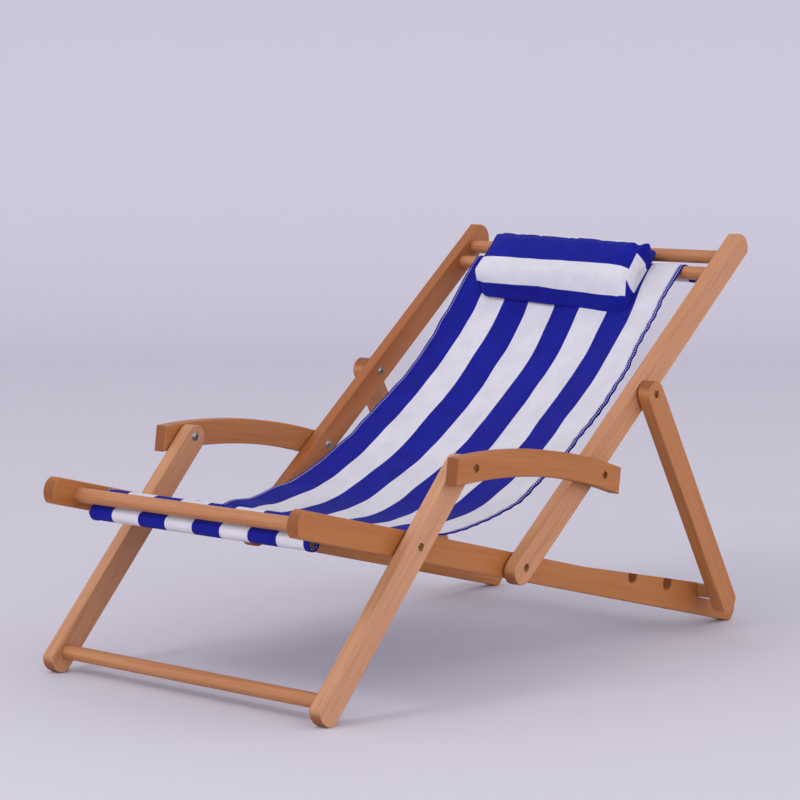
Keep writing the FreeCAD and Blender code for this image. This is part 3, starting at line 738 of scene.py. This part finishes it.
def build_stitches(sling, material):
    """Running stitches along the hems, on the canvas's upper side."""
    points, faces = [], []
    for from_left in STITCH_LINES:
        across = 2 * from_left / WHOLE_WIDTH - 1
        path, outs = [], []
        for row in range(2, len(sling.line) - 2):
            lift = SHEET / 2 + hem_lift(from_left, 1)
            path.append(sling.place(across, row, lift))
            outs.append(Vector((0, *sling.above[row])))
        more_points, more_faces = stitch_line(path, outs)
        faces += [[v + len(points) for v in face] for face in more_faces]
        points += more_points
    return build_mesh("sling_stitching", points, faces, material)


# ---------------------------------------------------------------- head pillow
# Its side view at each end, as (along, off) in mm from the lower front edge of its CAD solid:
# front foot, front crest, rear crest and rear foot.
PILLOW_LEFT = ((11, -1), (39, 45), (127, 41), (146, 0))
PILLOW_RIGHT = ((-4, -12), (50, 41), (114, 43), (139, -5))
PILLOW_SHARE = 0.985
PILLOW_CELL = 4 * MM
PILLOW_ROUND = 11 * MM
PILLOW_LUMPS = 1.0 * MM
LUMPS_PER_METRE = 45
SEAM_DIP = 0.05
SEAM_WIDTH = 0.025
SEAM_INSET = 0.03
# How far the ear at the right rear corner reaches out: across, up the slope, off the canvas.
EAR = (13 * MM, 4 * MM, 5 * MM)

CLOTH = {"mass": 0.3, "tension_stiffness": 18, "compression_stiffness": 12,
         "bending_stiffness": 0.6}
PRESSURE = 4.0
SWELL_FRAMES = 20
SWELL_CAP = 6 * MM

# The stripes wrap round it, measured down its front from the front crest.
WRAP_START = 12 * MM
WRAP_SKEW = 9 * MM
WRAP_STRETCH = 1.10
WRAP_TOP = 62 * MM
WRAP_FRONT = 70 * MM
WRAP_BACK = 50 * MM

LOOK_DOWN = 0.2
CLEARANCE = 0.8 * MM


class PillowFrame:
    """The pillow's own axes, from its CAD solid: x across, u up the slope, n off the canvas.

    n is the direction in which most of the solid's upper faces look.
    """

    def __init__(self):
        mesh = nodes["headrest_cover"].data
        top = {}
        for face in mesh.polygons:
            if face.normal.z > 0.5 and abs(face.normal.x) < 0.01:
                key = tuple(round(c, 3) for c in face.normal)
                top[key] = top.get(key, 0) + face.area
        self.x = Vector((1, 0, 0))
        self.n = Vector(max(top, key=top.get)).normalized()
        self.u = Vector((0, self.n.z, -self.n.y))
        axes = (self.x, self.u, self.n)
        spread = np.array([[v.co.dot(axis) for axis in axes] for v in mesh.vertices])
        self.low = spread.min(axis=0)
        self.size = Vector(spread.max(axis=0) - self.low)

    def world(self, x, along, off):
        """The point at these distances from the solid's lower front left corner."""
        low = self.low
        return self.x * (low[0] + x) + self.u * (low[1] + along) + self.n * (low[2] + off)

    def shaped(self, share):
        """A place in the plain box, as shares of its three sides, moved into the pillow's shape."""
        across, back, up = share
        seam = (bulge(across, 1 - SEAM_INSET, SEAM_WIDTH) * (1 + bulge(back, 1.0, 0.5))
                + bulge(across, SEAM_INSET, SEAM_WIDTH))
        back = 0.5 + (back - 0.5) * (1 - SEAM_DIP * seam)
        up = 0.5 + (up - 0.5) * (1 - 2 * SEAM_DIP * seam)
        corners = [Vector(left).lerp(Vector(right), across) * MM
                   for left, right in zip(PILLOW_LEFT, PILLOW_RIGHT)]
        foot = corners[0].lerp(corners[3], back)
        crest = corners[1].lerp(corners[2], back)
        along, off = foot.lerp(crest, up)
        ear = (slope(across, 1 - SEAM_WIDTH, SEAM_WIDTH) * bulge(back, 1.0, 0.34)
               * bulge(up, 1.0, 0.75))
        inside = 0.5 + (across - 0.5) * PILLOW_SHARE
        out, rise, lift = (reach * ear for reach in EAR)
        return self.world(inside * self.size.x + out, along + rise, off + lift)


def box_lattice(size, cell):
    """Points and faces of a box's surface on an even lattice, and the side each face is on.

    The sides are "end" (left, right), "face" (front, back) and "level" (bottom, top).
    """
    counts = [max(2, round(s / cell)) for s in size]
    index = {}
    points = []

    def corner(key):
        if key not in index:
            index[key] = len(points)
            points.append(Vector([size[k] * key[k] / counts[k] for k in range(3)]))
        return index[key]

    faces = []
    sides = []
    for axis in range(3):
        p, q = [k for k in range(3) if k != axis]
        for end in (0, counts[axis]):
            for i in range(counts[p]):
                for j in range(counts[q]):
                    quad = []
                    for di, dj in ((0, 0), (1, 0), (1, 1), (0, 1)):
                        key = [0, 0, 0]
                        key[axis], key[p], key[q] = end, i + di, j + dj
                        quad.append(corner(tuple(key)))
                    outward = (end > 0) == (axis != 1)
                    faces.append(quad if outward else quad[::-1])
                    sides.append(("end", "face", "level")[axis])
    return points, faces, sides


def soften(point, size, corner):
    """Rounds a box's edges: the point is pulled onto the rounded box."""
    inner = Vector([max(corner, min(s - corner, c)) for s, c in zip(size, point)])
    out = point - inner
    return inner + out.normalized() * corner if out.length > 1e-9 else point


def inflate(piece, freedom):
    """A short cloth simulation under pressure; each point moves by its share of the cap at most."""
    rest = [v.co.copy() for v in piece.data.vertices]
    swell = piece.modifiers.new("swell", "CLOTH")
    swell.settings.use_pressure = True
    swell.settings.uniform_pressure_force = PRESSURE
    swell.settings.effector_weights.gravity = 0
    for key, value in CLOTH.items():
        setattr(swell.settings, key, value)
    swell.point_cache.frame_start = 1
    swell.point_cache.frame_end = SWELL_FRAMES
    for number in range(1, SWELL_FRAMES + 1):
        bpy.context.scene.frame_set(number)
    graph = bpy.context.evaluated_depsgraph_get()
    swollen = [v.co.copy() for v in piece.evaluated_get(graph).data.vertices]
    piece.modifiers.remove(swell)
    for vertex, start, end, share in zip(piece.data.vertices, rest, swollen, freedom):
        step = end - start
        reach = min(step.length, SWELL_CAP) * share
        vertex.co = start + step.normalized() * reach
    bpy.context.scene.frame_set(1)


def rest_on(piece, supports, up):
    """Lifts the points that would sink into what lies under them."""
    graph = bpy.context.evaluated_depsgraph_get()
    trees = [BVHTree.FromObject(support, graph) for support in supports]
    for vertex in piece.data.vertices:
        for tree in trees:
            hit = tree.ray_cast(vertex.co + up * LOOK_DOWN, -up, LOOK_DOWN + CLEARANCE)[0]
            if hit:
                vertex.co += up * max(0.0, (hit - vertex.co).dot(up) + CLEARANCE)


def subdivide(piece):
    smooth = piece.modifiers.new("smooth", "SUBSURF")
    smooth.levels = 1
    smooth.render_levels = 1
    graph = bpy.context.evaluated_depsgraph_get()
    finished = bpy.data.meshes.new_from_object(piece.evaluated_get(graph))
    piece.modifiers.clear()
    piece.data = finished


def end_cloth(back, up):
    """Across the cloth on an end of the pillow: one white band, a wedge that leans forward."""
    front_edge = 0.40 * (1 - up) - 0.06
    rear_edge = 0.66 + 0.02 * up
    return (1 + (back - front_edge) / (rear_edge - front_edge)) * STRIPE


def wrapped_cloth(side, across, back, up, depth):
    """Across the cloth round the pillow, down its front, back under it and down its rear."""
    if side == "level":
        down = -back * WRAP_TOP if up > 0.5 else WRAP_FRONT + back * depth
    elif back > 0.5:
        down = -WRAP_TOP - (1 - up) * WRAP_BACK
    else:
        down = (1 - up) * WRAP_FRONT
    return STRIPE + down * WRAP_STRETCH + WRAP_START + WRAP_SKEW * (1 - across)


def build_pillow(cloth_material, sling):
    pillow = PillowFrame()
    size = pillow.size
    flat, faces, sides = box_lattice(size, PILLOW_CELL)

    def shares_of(point):
        return [c / s for c, s in zip(point, size)]

    shares = [Vector(shares_of(p)) for p in flat]
    points = [pillow.shaped(shares_of(soften(p, size, PILLOW_ROUND))) for p in flat]
    piece = build_mesh("headrest", points, faces, cloth_material)

    def cloth_at(face, vertex):
        """Stripes wrap the long sides, a little askew; on the ends they stand upright."""
        across, back, up = shares[vertex]
        if sides[face] == "end":
            return end_cloth(back, up), up * size.z
        return wrapped_cloth(sides[face], across, back, up, size.y), across * size.x

    map_cloth(piece, cloth_at)
    inflate(piece, [ease(share.z / 0.4) for share in shares])
    supports = [sling, nodes["top_dowel_upper"]]
    for vertex in piece.data.vertices:
        vertex.co += pillow.n * field.noise(vertex.co * LUMPS_PER_METRE) * PILLOW_LUMPS
    rest_on(piece, supports, pillow.n)
    subdivide(piece)
    rest_on(piece, supports, pillow.n)
    return piece


# ---------------------------------------------------------------- stage, light and camera
CAMERA_SPOT = (2.61922, -3.08788, 0.82138)
CAMERA_YAW = math.radians(40.5415)
CAMERA_PITCH = math.radians(6.077)
CAMERA_ROLL = math.radians(0.2216)
CAMERA_LENS = 117.44

PAPER_WIDTH = 32.0
PAPER_FRONT = -16.0
PAPER_BACK = 8.0
PAPER_TOP = 6.0
PAPER_BEND = 3.0
BEND_STEPS = 24

# Soft boxes, placed as the camera sees the chair: right, away from the camera, up.
KEY = {"spot": (-2.4, -1.6, 3.2), "side": 0.9, "power": 27, "tint": (1.0, 0.985, 0.97)}
FILL = {"spot": (3.2, -2.6, 1.8), "side": 1.4, "power": 13.5, "tint": (0.98, 0.98, 1.0)}
AIM = Vector((0, 0, 0.3))

ROOM_WALLS = 2.13
ROOM_CEILING = 0.48
ROOM_TINT = (0.95, 0.94, 0.99)
ROOM_SEEN = (0.61, 0.585, 0.675)


def build_camera():
    eye = bpy.data.objects.new("camera", bpy.data.cameras.new("camera"))
    bpy.context.scene.collection.objects.link(eye)
    eye.data.lens = CAMERA_LENS
    eye.data.sensor_width = 36
    turn = (Matrix.Rotation(CAMERA_YAW, 4, "Z") @ Matrix.Rotation(math.pi / 2 - CAMERA_PITCH, 4, "X")
            @ Matrix.Rotation(CAMERA_ROLL, 4, "Z"))
    eye.matrix_world = Matrix.Translation(CAMERA_SPOT) @ turn
    bpy.context.scene.camera = eye


def build_sweep():
    """Seamless paper: floor, bend and wall as one sheet, square to the camera."""
    bend_start = PAPER_BACK - PAPER_BEND
    profile = [(PAPER_FRONT, 0.0), (bend_start, 0.0)]
    for k in range(1, BEND_STEPS + 1):
        angle = math.pi / 2 * k / BEND_STEPS
        profile.append((bend_start + PAPER_BEND * math.sin(angle),
                        PAPER_BEND - PAPER_BEND * math.cos(angle)))
    profile.append((PAPER_BACK, PAPER_TOP))
    turn = Matrix.Rotation(CAMERA_YAW, 3, "Z")
    points = []
    for across in (-PAPER_WIDTH / 2, PAPER_WIDTH / 2):
        points += [turn @ Vector((across, y, z)) for y, z in profile]
    count = len(profile)
    faces = [[k, k + count, k + count + 1, k + 1] for k in range(count - 1)]
    sweep = build_mesh("studio_paper", points, faces, studio_paper("studio_paper"))


def build_light(name, spot, side, power, tint):
    """A square soft box aimed at the chair's middle."""
    lamp = bpy.data.objects.new(name, bpy.data.lights.new(name, "AREA"))
    bpy.context.scene.collection.objects.link(lamp)
    lamp.data.shape = "SQUARE"
    lamp.data.size = side
    lamp.data.energy = power
    lamp.data.color = tint
    spot = Matrix.Rotation(CAMERA_YAW, 3, "Z") @ Vector(spot)
    turn = (AIM - spot).to_track_quat("-Z", "Y").to_matrix().to_4x4()
    lamp.matrix_world = Matrix.Translation(spot) @ turn


def build_room_light():
    """Pale light from all round, brighter from the walls than from the ceiling.

    The camera sees it as pale as the paper, so that the paper has no visible end.
    """
    world = bpy.data.worlds.new("room")
    world.use_nodes = True
    tree = world.node_tree
    coordinates = tree.nodes.new("ShaderNodeTexCoord")
    split = tree.nodes.new("ShaderNodeSeparateXYZ")
    height = tree.nodes.new("ShaderNodeMapRange")
    height.inputs["To Min"].default_value = ROOM_WALLS
    height.inputs["To Max"].default_value = ROOM_CEILING
    glow = tree.nodes["Background"]
    glow.inputs["Color"].default_value = (*ROOM_TINT, 1)
    tree.links.new(coordinates.outputs["Generated"], split.inputs[0])
    tree.links.new(split.outputs["Z"], height.inputs["Value"])
    tree.links.new(height.outputs["Result"], glow.inputs["Strength"])
    seen = tree.nodes.new("ShaderNodeBackground")
    seen.inputs["Color"].default_value = (*ROOM_SEEN, 1)
    path = tree.nodes.new("ShaderNodeLightPath")
    choice = tree.nodes.new("ShaderNodeMixShader")
    tree.links.new(path.outputs["Is Camera Ray"], choice.inputs[0])
    tree.links.new(glow.outputs[0], choice.inputs[1])
    tree.links.new(seen.outputs[0], choice.inputs[2])
    tree.links.new(choice.outputs[0], tree.nodes["World Output"].inputs["Surface"])
    bpy.context.scene.world = world


def build_studio():
    build_camera()
    build_sweep()
    build_light("key", **KEY)
    build_light("fill", **FILL)
    build_room_light()
    bpy.context.scene.view_settings.view_transform = "Standard"


# ---------------------------------------------------------------- the whole object
finish_wood()
finish_hardware()
striped = canvas("striped_canvas")
white_thread = thread("white_thread")

sling, stitching = build_sling(striped, white_thread)

# The canvas passes from the base to the back over a stretch that ends just behind the back's pivot.
for piece in (sling, stitching):
    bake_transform(piece)
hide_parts("sling_seat", "sling_back", "sling_front_hem", "sling_top_hem")

headrest = build_pillow(striped, sling)
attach(headrest, "back")
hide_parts("headrest_cover", "headrest_foam")

build_studio()
